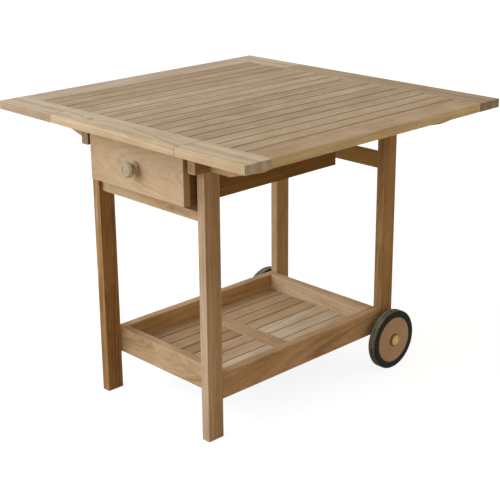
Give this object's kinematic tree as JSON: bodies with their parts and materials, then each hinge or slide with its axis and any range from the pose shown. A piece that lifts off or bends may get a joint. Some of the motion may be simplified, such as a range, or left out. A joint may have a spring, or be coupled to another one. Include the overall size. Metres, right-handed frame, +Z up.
{
  "type": "room service table",
  "caption": "Teak serving trolley: slatted top with two hinged leaves on swing-out brackets, a drawer with a turned knob, a slatted tray low down and wheels under one end.",
  "frame": {"origin": "on the floor under the middle of the top", "axes": "+X to the right leaf seen from the drawer end, +Y to the wheel end, +Z up"},
  "size_m": [0.874, 0.865, 0.74],
  "materials": {
    "teak": "planed teak, unvarnished, slightly weathered on top",
    "wheel_wood": "oiled flat wood disc",
    "turned_knob": "turned, greyed bare wood",
    "tyre": "black rubber with a dusty tread",
    "brass": "plain brass",
    "steel": "bright steel"
  },
  "bodies": {
    "frame": {"axle": "steel", "axle_caps": "brass", "axle_spacers": "steel", "back_cross_rail": "teak", "back_left_leg": "teak", "back_right_leg": "teak", "bracket_hinge_screws_frame": "brass", "bracket_hinge_wings_frame": "brass", "centre_end_board_back": "teak", "centre_end_board_front": "teak", "centre_slats": "teak", "drawer_runner_left": "teak", "drawer_runner_right": "teak", "front_cross_rail": "teak", "front_left_leg": "teak", "front_right_leg": "teak", "hinge_pins": "brass", "leaf_hinge_screws_frame": "brass", "leaf_hinge_wings_frame": "brass", "top_rail_left": "teak", "top_rail_right": "teak", "tray_battens": "teak", "tray_end_back": "teak", "tray_end_front": "teak", "tray_middle_rail": "teak", "tray_side_left": "teak", "tray_side_right": "teak", "tray_slats_back": "teak", "tray_slats_front": "teak"},
    "drawer": {"drawer_front": "teak", "drawer_side_left": "teak", "drawer_side_right": "teak", "drawer_back": "teak", "drawer_bottom": "teak", "drawer_knob": "turned_knob", "knob_bolt": "steel"},
    "left_wheel": {"wheel_disc_left": "wheel_wood", "wheel_tyre_left": "tyre"},
    "right_wheel": {"wheel_disc_right": "wheel_wood", "wheel_tyre_right": "tyre"},
    "left_leaf": {"left_leaf_end_board_front": "teak", "left_leaf_end_board_back": "teak", "left_leaf_slats": "teak", "left_leaf_edge_rail": "teak", "leaf_hinge_wings_left": "brass", "leaf_hinge_screws_left": "brass"},
    "right_leaf": {"right_leaf_end_board_front": "teak", "right_leaf_end_board_back": "teak", "right_leaf_slats": "teak", "right_leaf_edge_rail": "teak", "leaf_hinge_wings_right": "brass", "leaf_hinge_screws_right": "brass"},
    "front_left_bracket": {"front_left_leaf_bracket": "teak", "front_left_bracket_hinge_wing": "brass"},
    "front_right_bracket": {"front_right_leaf_bracket": "teak", "front_right_bracket_hinge_wing": "brass"},
    "back_left_bracket": {"back_left_leaf_bracket": "teak", "back_left_bracket_hinge_wing": "brass"},
    "back_right_bracket": {"back_right_leaf_bracket": "teak", "back_right_bracket_hinge_wing": "brass"}
  },
  "joints": [
    {"name": "drawer_slide", "type": "slide", "parent": "frame", "child": "drawer", "axis": [0, -1, 0], "range_m": [0, 0.3]},
    {"name": "left_wheel_spin", "type": "hinge", "parent": "frame", "child": "left_wheel", "pos_m": [-0.2325, 0.298, 0.08], "axis": [1, 0, 0], "continuous": true},
    {"name": "right_wheel_spin", "type": "hinge", "parent": "frame", "child": "right_wheel", "pos_m": [0.2325, 0.298, 0.08], "axis": [1, 0, 0], "continuous": true},
    {"name": "front_left_bracket_swing", "type": "hinge", "parent": "frame", "child": "front_left_bracket", "pos_m": [-0.2069, -0.2961, 0.689], "axis": [0, 0, -1], "range_deg": [0, 90]},
    {"name": "front_right_bracket_swing", "type": "hinge", "parent": "frame", "child": "front_right_bracket", "pos_m": [0.2069, -0.2961, 0.689], "axis": [0, 0, 1], "range_deg": [0, 90]},
    {"name": "back_left_bracket_swing", "type": "hinge", "parent": "frame", "child": "back_left_bracket", "pos_m": [-0.2069, 0.2961, 0.689], "axis": [0, 0, 1], "range_deg": [0, 90]},
    {"name": "back_right_bracket_swing", "type": "hinge", "parent": "frame", "child": "back_right_bracket", "pos_m": [0.2069, 0.2961, 0.689], "axis": [0, 0, -1], "range_deg": [0, 90]},
    {"name": "left_leaf_hinge", "type": "hinge", "parent": "frame", "child": "left_leaf", "pos_m": [-0.2235, 0, 0.7161], "axis": [0, 1, 0], "range_deg": [0, 3]},
    {"name": "right_leaf_hinge", "type": "hinge", "parent": "frame", "child": "right_leaf", "pos_m": [0.2235, 0, 0.7161], "axis": [0, -1, 0], "range_deg": [0, 3]}
  ]
}
